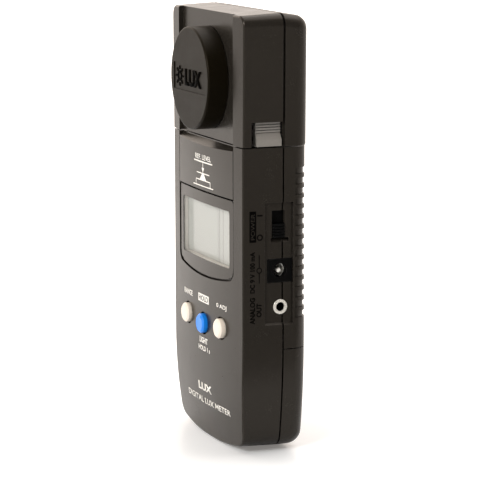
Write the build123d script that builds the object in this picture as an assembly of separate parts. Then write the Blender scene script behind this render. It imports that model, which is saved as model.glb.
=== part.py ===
from build123d import *
import os
from math import radians, sqrt, tan

# Handheld lux meter with a detachable sensor head, in millimetres.
# +X is the instrument's right as its user sees it, -Y faces the user, +Z is up.
# The origin is the middle of the flat on which the instrument stands.

# ---- driving dimensions ----
WIDTH = 74.0
HEIGHT = 171.4
DEPTH = 28.0
WALL = 2.2
HALF = WIDTH / 2
FRONT_Y = -13.4                 # rim of the front face
BACK_Y = DEPTH / 2
PART_Y = 3.0                    # plane where front and rear shells meet
SEAM_Z = 120.7                  # plane where head and body meet
SEAM_GAP = 0.5
BODY_TOP = SEAM_Z - SEAM_GAP / 2
HEAD_BOTTOM = SEAM_Z + SEAM_GAP / 2
COVER_Z = 41.8                  # top edge of the battery cover
COVER_GAP = 0.4
GROOVE_DEPTH = 1.1              # shadow gap round the parting plane
BODY_GROOVE = 0.35
HEAD_GROOVE = 0.5

# ---- outer form ----
BULGE = 1.95                    # crown of the front face at the centre line
DRAFT = 2.6                     # degrees, front shells
TAPER_TOP = 46.0                # the sides curve inwards below this height
TAPER_RADIUS = 240.0
BASE_RADIUS = 125.0
BASE_LAND = 8.0
BASE_DROP = 0.6
BASE_CORNER = 6.5
LEAN_TOP = 35.0                 # the front face curves back below this height
LEAN_RADIUS = 250.0
REAR_ROUND = 6.0
FRONT_ROUND = 0.8
HEAD_PROUD = 0.4
HEAD_FLARE = 0.012              # the head widens this much per millimetre of height
HEAD_CORNER = 4.8
HEAD_REAR_ROUND = 5.5
HEAD_INNER_ROUND = 2.3
HEAD_REAR_SLOPE = 0.14          # fall of the top of the rear shell towards the back
CHANNEL_HALF = 28.3
CHANNEL_Y = -12.5
PANEL_Y = -12.0                 # ledge behind the top panel and the window
LEDGE_BACK_Y = -10.8

# ---- sensor head ----
SENSOR_Z = 144.5
CAP_RADIUS = 20.1
CAP_FRONT_Y = -21.0
CAP_WALL = 1.5
COLLAR_RADIUS = 18.3
COLLAR_FRONT_Y = -18.3
NECK_RADIUS = 15.8
DIFFUSER_RADIUS = 14.0
DIFFUSER_CROWN = 1.4
HEAD_SCREWS = [(x, z) for x in (-29.5, 29.5) for z in (136.0, 163.0)]

# ---- latches ----
LATCH_Y = (-7.9, 2.3)
LATCH_Z = (121.1, 130.1)
LATCH_SLOT_Y = -10.1
LATCH_TRAVEL = 1.4
LATCH_FINGER_X = (31.4, 33.2)
LATCH_FINGER_Y = (-6.0, 1.0)
LATCH_FINGER_END = 116.5
RIB_PITCH = 1.05

# ---- display and buttons ----
WINDOW_TOP = 99.8
WINDOW_BOTTOM = 65.5
WINDOW_BOTTOM_RADIUS = 140.0
WINDOW_CORNER = 4.0
WINDOW_VIEW = ((-24.4, 24.4), (72.4, 94.9))
INSERT_GAP = 0.5                # shadow gap beside the window and the top panel
GLASS = ((-26.5, 26.5), (70.0, 97.0))
BUTTONS = {"range_button": (-17.35, 47.8), "hold_button": (0.0, 46.6), "zero_button": (17.35, 47.8)}
BUTTON_RADIUS = 3.9
BUTTON_HOLE = 4.6
BUTTON_PROUD = 2.05
FLANGE_Y = (-12.25, -11.85)

# ---- connectors on the right side ----
RECESS_Z = (52.3, 99.3)
RECESS_SHALLOW = (-11.6, 0.3)
RECESS_STEP_Y = -4.5
RECESS_BACK_Y = 7.1
RECESS_DEPTH = 1.0
RECESS_X = HALF - RECESS_DEPTH
SWITCH_SLOT = ((-1.4, 4.0), (85.5, 96.2))
KNOB_HEIGHT = 5.2
DC_CENTRE = (1.9, 72.8)
DC_SIZE = (10.4, 9.2)
DC_BORE = 2.8
OUT_CENTRE = (2.1, 58.6)
OUT_BORE = 1.8
OUT_RING = 2.9
SIDE_BOARD_X = (21.4, 23.0)

# ---- electronics ----
BOARD_Y = (-8.2, -6.6)
BOARD_HALF = 30.4
BOARD_Z = (39.0, 117.0)
BOARD_POSTS = [(x, z) for x in (-18.0, 14.0) for z in (61.0, 111.0)]
CASE_SCREWS = [(side * x, z) for side in (-1, 1) for x, z in ((29.5, 47.5), (25.0, 116.0))]
SCREW_RADIUS = 1.25
BATTERY = ((-21.5, 27.0), (-6.0, 11.5), (7.2, 33.7))
SOCKET_Y = 0.0

# ---- grip ----
GRIP_COUNT = 16
GRIP_PITCH = 4.0
GRIP_FIRST_Z = 53.1
GRIP_FRONT_Y = 8.0
GRIP_BACK_X = 27.0
GRIP_DEPTH = 0.6
GRIP_POCKET = 2.5


# ---------------------------------------------------------------- helpers
def block(x, y, z):
    """Box between three pairs of limits."""
    size = Box(x[1] - x[0], y[1] - y[0], z[1] - z[0])
    return Pos((x[0] + x[1]) / 2, (y[0] + y[1]) / 2, (z[0] + z[1]) / 2) * size


def rod_x(y, z, radius, x0, x1):
    """Cylinder along X."""
    return Pos((x0 + x1) / 2, y, z) * Rot(0, 90, 0) * Cylinder(radius, abs(x1 - x0))


def rod_y(x, z, radius, y0, y1):
    """Cylinder along Y."""
    return Pos(x, (y0 + y1) / 2, z) * Rot(90, 0, 0) * Cylinder(radius, abs(y1 - y0))


def rod_z(x, y, radius, z0, z1):
    """Cylinder along Z."""
    return Pos(x, y, (z0 + z1) / 2) * Cylinder(radius, abs(z1 - z0))


def along_x(sketch, x0, x1):
    """Extrude a side-view sketch (Y, Z) between two X values."""
    return extrude(Plane.YZ.offset(x0) * sketch, x1 - x0)


def along_y(sketch, y0, y1):
    """Extrude a front-view sketch (X, Z) between two Y values."""
    return extrude(Plane.XZ.offset(-y0) * sketch, y0 - y1)


def mirrored(shape):
    """The same shape on the other side of the centre plane."""
    return mirror(shape, Plane.YZ)


def both_sides(shape):
    """A shape and its mirror image."""
    return shape + mirrored(shape)


def pair(shape):
    """A shape and its mirror image as two separate solids."""
    return group([shape, mirrored(shape)])


def group(shapes):
    """Separate solids that share one node."""
    return Compound([solid for shape in shapes for solid in shape.solids()])


def save(name, shape):
    """Write one node."""
    export_step(shape, "parts/" + name + ".step")


# ---------------------------------------------------------------- outer form
def side_x(z, inset):
    """Half width of the body at height z."""
    drop = max(0.0, TAPER_TOP - z)
    return HALF - TAPER_RADIUS + sqrt((TAPER_RADIUS - inset)**2 - drop**2)


def base_z(x, inset):
    """Height of the curved underside at a distance x from the centre line."""
    reach = max(0.0, abs(x) - BASE_LAND / 2)
    return BASE_RADIUS - BASE_DROP - sqrt((BASE_RADIUS - inset)**2 - reach**2)


def body_outline(inset):
    """Front view of the body: straight sides that curve in to a shallow arched underside."""
    top = SEAM_Z + 30
    half = HALF - inset
    corner_z = 0.0
    for _ in range(20):
        corner_x = side_x(corner_z, inset)
        corner_z = base_z(corner_x, inset)
    mid_z = (TAPER_TOP + corner_z) / 2
    mid_x = (BASE_LAND / 2 + corner_x) / 2
    corner = (corner_x, corner_z)
    land = (BASE_LAND / 2, inset - BASE_DROP)
    right = Line((half, top), (half, TAPER_TOP))
    right += ThreePointArc((half, TAPER_TOP), (side_x(mid_z, inset), mid_z), corner)
    right += ThreePointArc(corner, (mid_x, base_z(mid_x, inset)), land)
    outline = right + mirror(right, Plane.YZ)
    outline += Line((-half, top), (half, top))
    outline += Line((-land[0], land[1]), land)
    face = make_face(outline)
    corners = [v for v in face.vertices() if abs(v.Y - corner_z) < 0.01]
    return fillet(corners, BASE_CORNER - inset)


def head_outline(inset):
    """Front view of the head: a rectangle with rounded top corners."""
    half = HALF + HEAD_PROUD - inset
    bottom = SEAM_Z - 20
    top = HEIGHT - inset
    low_half = half + HEAD_FLARE * (bottom - SEAM_Z)
    top_half = half + HEAD_FLARE * (top - SEAM_Z)
    corners = [(-low_half, bottom), (low_half, bottom), (top_half, top), (-top_half, top)]
    face = make_face(Polyline(*corners, close=True))
    return fillet(face.vertices().group_by(Axis.Y)[-1], HEAD_CORNER - inset)


def crowned_front(inset):
    """Large solid whose front face is crowned across its width and curves back near the base."""
    radius = (HALF**2 + BULGE**2) / (2 * BULGE)
    centre_y = FRONT_Y - BULGE + radius
    plan = Pos(0, centre_y) * Circle(radius - inset) & Pos(0, 5) * Rectangle(WIDTH + 16, 50)
    upper = extrude(Plane.XY.offset(LEAN_TOP) * plan, HEIGHT)
    lean_axis = Axis((0, FRONT_Y + LEAN_RADIUS, LEAN_TOP), (1, 0, 0))
    lower = revolve(Plane.XY.offset(LEAN_TOP) * plan, lean_axis, 14)
    return upper + lower


def front_form(outline, inset):
    """Drafted front half, with its crowned face and softened edges."""
    tip_y = FRONT_Y - 3
    shrink = (PART_Y - tip_y) * tan(radians(DRAFT))
    wide = Plane.XZ.offset(-PART_Y) * outline(inset)
    narrow = Plane.XZ.offset(-tip_y) * outline(inset + shrink)
    solid = loft([wide, narrow], ruled=True) & crowned_front(inset)
    if inset:
        return solid
    edges = [e for e in solid.edges() if e.bounding_box().max.Y < FRONT_Y + 8 and e.length > 1]
    return fillet(edges, FRONT_ROUND)


def rear_form(outline, inset, rounding, slope=0.0):
    """Rear half with a rounded rim, whose top falls towards the back where a slope is given."""
    reach = BACK_Y - inset - PART_Y
    path = Vector(0, reach, -slope * reach)
    solid = extrude(Plane.XZ.offset(-PART_Y) * outline(inset), path.length, dir=path)
    return fillet(solid.edges().group_by(Axis.Y)[-1], rounding)


def groove_ring(outline, half_width):
    """Ring that cuts the shadow gap round the parting plane."""
    ring = outline(-1.0) - outline(GROOVE_DEPTH)
    return along_y(ring, PART_Y - half_width, PART_Y + half_width)


# ---------------------------------------------------------------- shared cutters
def window_outline(gap):
    """Front view of the display window, with an arched lower edge."""
    half = CHANNEL_HALF + 0.25 - gap
    bottom = WINDOW_BOTTOM + gap
    face = Pos(0, (WINDOW_TOP + bottom) / 2) * Rectangle(2 * half, WINDOW_TOP - bottom)
    face = face & Pos(0, bottom + WINDOW_BOTTOM_RADIUS) * Circle(WINDOW_BOTTOM_RADIUS)
    return fillet(face.vertices().group_by(Axis.Y)[0], WINDOW_CORNER)


def insert_pocket():
    """Recess in the front shell for the window and the top panel."""
    half = CHANNEL_HALF + 0.25
    window = along_y(window_outline(0), FRONT_Y - 4, PANEL_Y)
    panel = block((-half, half), (FRONT_Y - 4, PANEL_Y), (WINDOW_TOP - 1, SEAM_Z + 1))
    return window + panel


def side_recess():
    """Shallow printed field and deeper connector field in the right wall, with a chamfered sill."""
    front_y, shallow = RECESS_SHALLOW
    printed = block((HALF - shallow, HALF + 2), (front_y, RECESS_STEP_Y + 0.1), RECESS_Z)
    deep = block((RECESS_X, HALF + 2), (RECESS_STEP_Y, RECESS_BACK_Y), RECESS_Z)
    low = RECESS_Z[0]
    sill = Polyline((RECESS_X - 0.01, low + 0.01), (HALF + 1, low + 0.01), (HALF + 1, low - 1.6), close=True)
    slope = extrude(Plane.XZ.offset(-RECESS_STEP_Y) * make_face(sill), RECESS_STEP_Y - RECESS_BACK_Y)
    seam = block((RECESS_X - 0.8, HALF + 1), (PART_Y - BODY_GROOVE, PART_Y + BODY_GROOVE), RECESS_Z)
    return printed + deep + slope + seam


def side_openings():
    """Switch slot, inlet opening and jack hole through the right wall."""
    slot = block((HALF - 4, HALF + 1), SWITCH_SLOT[0], SWITCH_SLOT[1])
    low = SWITCH_SLOT[1][0]
    scoop = Polyline((RECESS_X - 1.5, low + 0.01), (HALF, low + 0.01), (HALF, low - 3.0), close=True)
    ramp_y = (SWITCH_SLOT[0][0] - 0.4, SWITCH_SLOT[0][1] + 1.6)
    ramp = extrude(Plane.XZ.offset(-ramp_y[0]) * make_face(scoop), ramp_y[0] - ramp_y[1])
    inlet = Pos(HALF - 2, DC_CENTRE[0], DC_CENTRE[1]) * Box(6, DC_SIZE[0] + 0.2, DC_SIZE[1] + 0.2)
    jack = rod_x(OUT_CENTRE[0], OUT_CENTRE[1], OUT_RING + 0.1, HALF - 5, HALF + 1)
    return slot + ramp + inlet + jack


def side_pad():
    """Thickening behind the connector field, so the recess leaves a sound wall."""
    return block((HALF - 2.6, HALF - 1), (RECESS_STEP_Y - 1, RECESS_BACK_Y + 1), (50.5, 101.0))


def top_openings():
    """Openings in the top of the body for the plug and for both latch fingers."""
    socket = block((-9.7, 9.7), (-4.7, 4.7), (BODY_TOP - 4, BODY_TOP + 1))
    x = (LATCH_FINGER_X[0] - LATCH_TRAVEL - 1.0, LATCH_FINGER_X[1] + 0.4)
    y = (LATCH_FINGER_Y[0] - 0.4, LATCH_FINGER_Y[1] + 0.4)
    return socket + both_sides(block(x, y, (BODY_TOP - 4, BODY_TOP + 1)))


def grip_pockets():
    """Pockets round the rear corners that leave a ladder of grip ribs."""
    core = rear_form(body_outline, GRIP_DEPTH, REAR_ROUND - GRIP_DEPTH)
    bands = []
    for index in range(GRIP_COUNT - 1):
        low = GRIP_FIRST_Z + index * GRIP_PITCH + (GRIP_PITCH - GRIP_POCKET) / 2
        band = block((GRIP_BACK_X, HALF + 1), (GRIP_FRONT_Y, BACK_Y + 1), (low, low + GRIP_POCKET))
        bands += [band, mirrored(band)]
    return Compound([solid for band in bands for solid in (band - core).solids()])


# ---------------------------------------------------------------- body shells
def front_case(outer, inner, groove):
    """Front shell of the body, with screw bosses and board posts."""
    below = block((-60, 60), (-40, 40), (0, BODY_TOP))
    shell = (outer & below) - (inner & block((-60, 60), (-40, 40), (-9, BODY_TOP - WALL)))
    cavity_depth = (FRONT_Y, PART_Y)
    shell += block((-CHANNEL_HALF - 2, CHANNEL_HALF + 2), (-13.2, LEDGE_BACK_Y), (63.0, BODY_TOP - 1)) & outer
    shell += side_pad() & block((0, 60), cavity_depth, (0, 200))
    for x, z in CASE_SCREWS:
        shell += rod_y(x, z, 3.2, -13.4, PART_Y) & outer
        shell -= rod_y(x, z, SCREW_RADIUS + 0.05, -6.0, PART_Y + 1)
    for x, z in BOARD_POSTS:
        shell += rod_y(x, z, 2.2, -12.5, BOARD_Y[0])
        shell -= rod_y(x, z, 0.9, LEDGE_BACK_Y, BOARD_Y[0] + 1)
    shell -= insert_pocket()
    shell -= block((-27.0, 27.0), (-16, LEDGE_BACK_Y + 1), (69.5, 97.5))
    for x, z in BUTTONS.values():
        shell -= rod_y(x, z, BUTTON_HOLE, -18, -9)
    shell -= side_recess() + side_openings() + top_openings() + groove
    return shell


def back_case(outer, inner, groove, pockets):
    """Rear shell of the body above the battery cover, with a floor over the battery bay."""
    zone = block((-60, 60), (-40, 40), (COVER_Z + COVER_GAP / 2, BODY_TOP))
    hollow = inner & block((-60, 60), (-40, 40), (COVER_Z + 2.0, BODY_TOP - WALL))
    shell = (outer & zone) - hollow
    shell += side_pad() & block((0, 60), (PART_Y, BACK_Y), (0, 200))
    for x, z in CASE_SCREWS:
        shell += rod_y(x, z, 3.2, PART_Y, 12.5) & outer
        shell -= rod_y(x, z, SCREW_RADIUS + 0.3, 0, 20)
        shell -= rod_y(x, z, 2.6, 9.0, 20)
    shell -= block((-22.2, 22.2), (BACK_Y - 0.5, BACK_Y + 1), (59.8, 92.2))
    shell -= side_recess() + side_openings() + top_openings() + groove
    return shell - pockets


def battery_cover(outer, inner, groove):
    """Lower rear cover over the battery bay, with a grooved thumb grip."""
    zone = block((-60, 60), (-40, 40), (0, COVER_Z - COVER_GAP / 2))
    shell = (outer & zone) - (inner & block((-60, 60), (-40, 40), (-9, COVER_Z - 2.0)))
    shell -= block((-33.0, 33.0), (0, BACK_Y - WALL), (COVER_Z - 3, COVER_Z))
    for index in range(6):
        shell -= rod_x(BACK_Y + 0.35, 27.0 + 2.0 * index, 0.9, -9, 9)
    arrow = make_face(Polyline((-4.0, 23.6), (4.0, 23.6), (0, 19.4), close=True))
    shell -= along_y(arrow, BACK_Y - 0.4, BACK_Y + 1)
    shell -= groove
    keep = block((-60, 60), (PART_Y + 0.02, 40), (-9, 90))
    return shell & keep


def battery_tray(inner):
    """Open box that holds the battery, on feet that rest on the front shell's inner face."""
    x, y, z = (-29.4, 28.4), (-7.9, 9.5), (5.9, 35.1)
    tray = block(x, y, z) - block((x[0] + 1.2, x[1] - 1.2), (y[0] + 1.3, 20), (z[0] + 1.2, z[1] - 1.2))
    tray -= block((-28.5, -24.0), (-3.0, 2.0), (z[1] - 2, z[1] + 1))
    for foot_x in (-20.0, 20.0):
        for foot_z in (14.0, 28.0):
            tray += rod_y(foot_x, foot_z, 2.2, FRONT_Y - 2, y[0]) & (Pos(0, 0.05, 0) * inner)
    return tray


# ---------------------------------------------------------------- front inserts
def top_panel(outer):
    """Panel above the window: it ramps down at the top to meet the head's channel."""
    half = CHANNEL_HALF + 0.25 - INSERT_GAP
    panel = block((-half, half), (-30, PANEL_Y), (WINDOW_TOP + INSERT_GAP / 2, BODY_TOP)) & outer
    ramp_start = BODY_TOP - 2.7
    ramp = Polyline((FRONT_Y - 4, BODY_TOP + 1), (CHANNEL_Y, BODY_TOP + 1), (CHANNEL_Y, BODY_TOP - 0.4),
                    (FRONT_Y - 2.1, ramp_start), (FRONT_Y - 4, ramp_start), close=True)
    return panel - along_x(make_face(ramp), -40, 40)


def display_window(outer):
    """Clear window, thinned behind its viewing area."""
    blank = along_y(window_outline(INSERT_GAP), -30, PANEL_Y) & (Pos(0, 0.35, 0) * outer)
    trimmed = blank & block((-40, 40), (-30, 0), (0, WINDOW_TOP - INSERT_GAP / 2))
    (x0, x1), (z0, z1) = WINDOW_VIEW
    return trimmed - block((x0 - 0.6, x1 + 0.6), (PANEL_Y - 1.5, PANEL_Y + 1), (z0 - 0.6, z1 + 0.6))


def lcd_panel():
    """Two bonded glass plates, the front one shorter to expose the contact ledges."""
    x, z = GLASS
    front = block((x[0] + 0.1, x[1] - 0.1), (PANEL_Y, PANEL_Y + 0.9), (z[0] + 0.1, z[1] - 0.1))
    back = block((x[0] + 0.1, x[1] - 0.1), (PANEL_Y + 0.9, PANEL_Y + 1.8), (z[0] + 2.2, z[1] - 2.2))
    return front + back


def display_frame():
    """Frame that holds the glass on the board, between the front shell and the board."""
    x, z = GLASS
    outer = block((x[0] - 1.8, x[1] + 1.8), (LEDGE_BACK_Y, BOARD_Y[0]), (z[0] - 2.0, z[1] + 2.0))
    return outer - block((x[0], x[1]), (-20, 0), (z[0], z[1]))


def backlight():
    """Light guide behind the glass."""
    guide = block((-24.5, 24.5), (PANEL_Y + 1.8, BOARD_Y[0]), (73.4, 93.6))
    return guide - rod_y(24.5, 93.6, 1.2, -20, 0) - rod_y(-24.5, 93.6, 1.2, -20, 0)


def contact_strips():
    """Elastomer strips between the glass ledges and the board."""
    strips = [block((-25.5, 25.5), (PANEL_Y + 0.9, BOARD_Y[0]), z) for z in ((70.2, 72.1), (94.9, 96.8))]
    return group(strips)


# ---------------------------------------------------------------- buttons
def push_button(x, z):
    """Round push button with a chamfered edge and a retaining flange."""
    crown = BULGE * (1 - (x / HALF)**2)
    cap = rod_y(x, z, BUTTON_RADIUS, FRONT_Y - crown - BUTTON_PROUD, FLANGE_Y[0] + 0.1)
    cap = chamfer(cap.edges().group_by(Axis.Y)[0], 0.7)
    flange = rod_y(x, z, 5.6, *FLANGE_Y)
    return cap + flange


def key_switches():
    """Board-mounted switches behind the buttons."""
    switches = []
    for x, z in BUTTONS.values():
        base = block((x - 3, x + 3), (BOARD_Y[0] - 2.1, BOARD_Y[0]), (z - 3, z + 3))
        plunger = rod_y(x, z, 1.6, BOARD_Y[0] - 2.85, BOARD_Y[0] - 2.1)
        switches.append(base + plunger)
    return group(switches)


# ---------------------------------------------------------------- right side connectors
def power_knob():
    """Ribbed slide knob on a shutter plate that hides the slot."""
    (y0, y1), (low, _) = SWITCH_SLOT
    low += 0.2
    knob = block((HALF - 3.0, HALF - 0.4), (y0 + 0.2, y1 - 0.2), (low, low + KNOB_HEIGHT))
    for index in range(4):
        knob -= block((HALF - 0.9, HALF), (y0, y1), (low + 0.75 + 1.1 * index, low + 1.2 + 1.1 * index))
    middle = low + KNOB_HEIGHT / 2
    shutter = block((HALF - 4.0, HALF - 2.8), (y0 - 1.2, y1 + 1.2), (middle - 8.3, middle + 8.3))
    return knob + shutter


def switch_housing():
    """Slide switch body on the side board."""
    (y0, y1), _ = SWITCH_SLOT
    housing = block((SIDE_BOARD_X[1], HALF - 4.3), (y0 - 2.0, y1 + 2.0), (80.5, 100.8))
    return housing - block((HALF - 6.0, HALF), (y0 + 1.5, y1 - 1.5), (83.0, 98.5))


def dc_jack_housing():
    """Square-faced DC inlet housing with a round bore."""
    y, z = DC_CENTRE
    size_y, size_z = DC_SIZE
    span_y = (y - size_y / 2, y + size_y / 2)
    span_z = (z - size_z / 2, z + size_z / 2)
    body = block((SIDE_BOARD_X[1], HALF - 0.75), span_y, span_z)
    body = chamfer(body.edges().group_by(Axis.X)[-1], 0.2)
    bore = rod_x(y, z, DC_BORE, HALF - 11.0, HALF)
    pin_seat = rod_x(y, z, 1.02, HALF - 13.0, HALF - 10.9)
    return body - bore - pin_seat


def dc_jack_pin():
    """Round-nosed centre pin of the DC inlet."""
    y, z = DC_CENTRE
    pin = rod_x(y, z, 1.0, HALF - 12.9, HALF - 1.8)
    return fillet(pin.edges().group_by(Axis.X)[-1], 0.6)


def dc_jack_spring():
    """Sleeve contact: a curved leaf at the back of the bore."""
    y, z = DC_CENTRE
    ring = rod_x(y, z, DC_BORE - 0.05, HALF - 10.9, HALF - 3.4) - rod_x(y, z, DC_BORE - 0.3, HALF - 11, HALF)
    return ring & block((0, HALF), (y + 0.9, y + 4), (z - 4, z + 4))


def output_jack_housing():
    """Plastic body of the mini jack."""
    y, z = OUT_CENTRE
    body = block((SIDE_BOARD_X[1], HALF - 3.0), (y - 4.0, y + 4.0), (z - 4.0, z + 4.0))
    body += rod_x(y, z, OUT_RING, HALF - 3.1, HALF - 1.4)
    return body - rod_x(y, z, OUT_BORE, HALF - 13.5, HALF)


def output_jack_ring():
    """Plated bush round the mini jack's mouth."""
    y, z = OUT_CENTRE
    bush = rod_x(y, z, OUT_RING, HALF - 1.4, HALF - 0.6)
    bush = fillet(bush.edges().group_by(Axis.X)[-1], 0.25)
    return bush - rod_x(y, z, OUT_BORE, HALF - 4, HALF)


def side_board():
    """Board across the case that carries the switch and both jacks."""
    return block(SIDE_BOARD_X, (BOARD_Y[1], 8.6), (51.5, 101.5))


# ---------------------------------------------------------------- main board
def main_board():
    """Main circuit board, notched round the screw bosses."""
    board = block((-BOARD_HALF, BOARD_HALF), BOARD_Y, BOARD_Z)
    for x, z in CASE_SCREWS:
        board -= rod_y(x, z, 3.6, -12, 0)
    for x, z in BOARD_POSTS:
        board -= rod_y(x, z, 1.1, -12, 0)
    for side in (-1, 1):
        x = sorted((side * 28.0, side * 40.0))
        board -= block(x, (-12, 0), (115.0, 120.0))
    return board


def board_screws():
    """Small pan-head screws that hold the main board."""
    screws = []
    for x, z in BOARD_POSTS:
        head = rod_y(x, z, 1.9, BOARD_Y[1], BOARD_Y[1] + 1.3)
        head -= block((x - 1.3, x + 1.3), (BOARD_Y[1] + 0.8, 0), (z - 0.25, z + 0.25))
        head -= block((x - 0.25, x + 0.25), (BOARD_Y[1] + 0.8, 0), (z - 1.3, z + 1.3))
        screws.append(head + rod_y(x, z, 0.85, LEDGE_BACK_Y + 0.2, BOARD_Y[1] + 0.1))
    return group(screws)


def leaded_chip(x, z, half_x, half_z, pins, height):
    """Chip with gull-wing leads along its two vertical sides."""
    back = BOARD_Y[1]
    chip = block((x - half_x, x + half_x), (back + 0.15, back + height), (z - half_z, z + half_z))
    pitch = 2 * half_z / pins
    for index in range(pins):
        pin_z = z - half_z + pitch * (index + 0.5)
        lead = block((x - half_x - 0.9, x + half_x + 0.9), (back, back + 0.35), (pin_z - 0.2, pin_z + 0.2))
        chip += lead
    return chip


def processor():
    """Meter processor on the back of the main board."""
    return leaded_chip(-3.0, 84.0, 7.0, 7.0, 10, 2.0)


def small_chips():
    """Amplifier and display driver chips."""
    return group([leaded_chip(-18.0, 97.0, 2.0, 2.5, 4, 1.6), leaded_chip(-18.0, 86.0, 2.0, 2.5, 4, 1.6),
                  leaded_chip(8.0, 96.0, 3.8, 5.2, 7, 1.9)])


def trimmers():
    """Two square calibration trimmers."""
    trims = []
    for z in (70.0, 78.5):
        body = block((-22.0, -15.0), (BOARD_Y[1], BOARD_Y[1] + 5.0), (z - 3.5, z + 3.5))
        body -= block((-20.5, -16.5), (BOARD_Y[1] + 4.3, 5), (z - 0.4, z + 0.4))
        trims.append(body)
    return group(trims)


def capacitors():
    """Electrolytic capacitors standing on the main board."""
    cans = []
    for x, z, radius in ((4.0, 56.0, 3.2), (12.0, 69.0, 2.5), (-8.0, 66.0, 2.5)):
        can = rod_y(x, z, radius, BOARD_Y[1], BOARD_Y[1] + 7.5)
        cans.append(fillet(can.edges().group_by(Axis.Y)[-1], 0.5))
    return group(cans)


# ---------------------------------------------------------------- head connector
def body_socket():
    """Socket in the top of the body that takes the head's plug."""
    y = SOCKET_Y
    shell = block((-9.5, 9.5), (y - 4.5, y + 4.5), (BODY_TOP - 13.5, BODY_TOP - 0.05))
    return shell - block((-7.6, 7.6), (y - 2.9, y + 2.9), (BODY_TOP - 8.5, BODY_TOP + 1))


def socket_pins():
    """Contact pins that stand in the socket and bend forward to the main board."""
    y = SOCKET_Y
    base = BODY_TOP - 15.5
    pins = []
    for index in range(6):
        x = -6.25 + 2.5 * index
        pin = block((x - 0.4, x + 0.4), (y - 0.4, y + 0.4), (BODY_TOP - 8.5, BODY_TOP - 2.5))
        tail = block((x - 0.3, x + 0.3), (y - 0.3, y + 0.3), (base, BODY_TOP - 13.5))
        foot = block((x - 0.3, x + 0.3), (BOARD_Y[1], y + 0.3), (base - 0.6, base))
        pins += [pin, tail + foot]
    return group(pins)


def head_plug():
    """Plug under the head, with a flange inside the head and a hole for each pin."""
    y = SOCKET_Y
    nose = block((-7.3, 7.3), (y - 2.6, y + 2.6), (BODY_TOP - 7.6, HEAD_BOTTOM + 3))
    nose = chamfer(nose.edges().group_by(Axis.Z)[0], 0.4)
    flange = block((-9.2, 9.2), (y - 4.3, y + 4.3), (HEAD_BOTTOM + WALL, HEAD_BOTTOM + WALL + 2.0))
    plug = nose + flange
    for index in range(6):
        x = -6.25 + 2.5 * index
        plug -= rod_z(x, y, 0.75, BODY_TOP - 9, BODY_TOP - 1.5)
    return plug


def head_lead():
    """Flat lead from the plug up to the sensor board."""
    start = (0, 0, HEAD_BOTTOM + 4.2)
    path = FilletPolyline(start, (0, 0, 129.0), (0, -6.7, 132.5), (0, -6.7, 137.0), radius=1.2)
    section = Plane(start, x_dir=(1, 0, 0), z_dir=path % 0) * Rectangle(9.0, 0.6)
    return sweep(section, path=path)


# ---------------------------------------------------------------- head shells
def head_front_case(outer, inner, groove):
    """Front shell of the head with the recessed channel that surrounds the sensor."""
    zone = block((-60, 60), (-40, 40), (HEAD_BOTTOM, 200))
    shell = (outer & zone) - (inner & block((-60, 60), (-40, 40), (HEAD_BOTTOM + WALL, 200)))
    half = CHANNEL_HALF + 1.8
    shell += block((-half, half), (-13.2, LEDGE_BACK_Y), (HEAD_BOTTOM, 168.5)) & outer
    for x, z in HEAD_SCREWS:
        boss = rod_y(x, z, 3.2, -13.0, PART_Y) & outer
        shell += boss - rod_y(x, z, 3.0, -20, -12.5)
        shell -= rod_y(x, z, SCREW_RADIUS + 0.05, -6.0, PART_Y + 1)
    shell += both_sides(block((25.4, 27.4), (-5.4, -0.6), (HEAD_BOTTOM + WALL - 0.1, 130.9)))
    shell -= block((-CHANNEL_HALF, CHANNEL_HALF), (-30, CHANNEL_Y), (100, 200))
    shell -= rod_y(0, SENSOR_Z, NECK_RADIUS + 0.05, -20, -8)
    slot_z = (HEAD_BOTTOM - 1, LATCH_Z[1] + 0.25)
    slot = block((LATCH_FINGER_X[0] - 3.2, 60), (LATCH_SLOT_Y, PART_Y + 1), slot_z)
    return shell - both_sides(slot) - head_plug_hole() - groove


def head_plug_hole():
    """Opening in the head's underside for the plug."""
    return block((-7.4, 7.4), (SOCKET_Y - 2.7, SOCKET_Y + 2.7), (HEAD_BOTTOM - 1, HEAD_BOTTOM + WALL + 0.5))


def head_rear_case(outer, inner, groove):
    """Rear shell of the head, with counterbored screw holes."""
    zone = block((-60, 60), (-40, 40), (HEAD_BOTTOM, 200))
    shell = (outer & zone) - (inner & block((-60, 60), (-40, 40), (HEAD_BOTTOM + WALL, 200)))
    for x, z in HEAD_SCREWS:
        shell += rod_y(x, z, 3.2, PART_Y, 12.0) & outer
        shell -= rod_y(x, z, SCREW_RADIUS + 0.3, 0, 20)
        shell -= rod_y(x, z, 2.6, 9.0, 20)
    return shell - head_plug_hole() - groove


def shell_screws(places):
    """Pan-head screws with a cross recess, driven in from the rear."""
    screws = []
    for x, z in places:
        head = rod_y(x, z, 2.4, 9.0, 10.8)
        head -= block((x - 1.6, x + 1.6), (9.9, 12), (z - 0.3, z + 0.3))
        head -= block((x - 0.3, x + 0.3), (9.9, 12), (z - 1.6, z + 1.6))
        screws.append(head + rod_y(x, z, SCREW_RADIUS, -5.6, 9.1))
    return group(screws)


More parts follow.
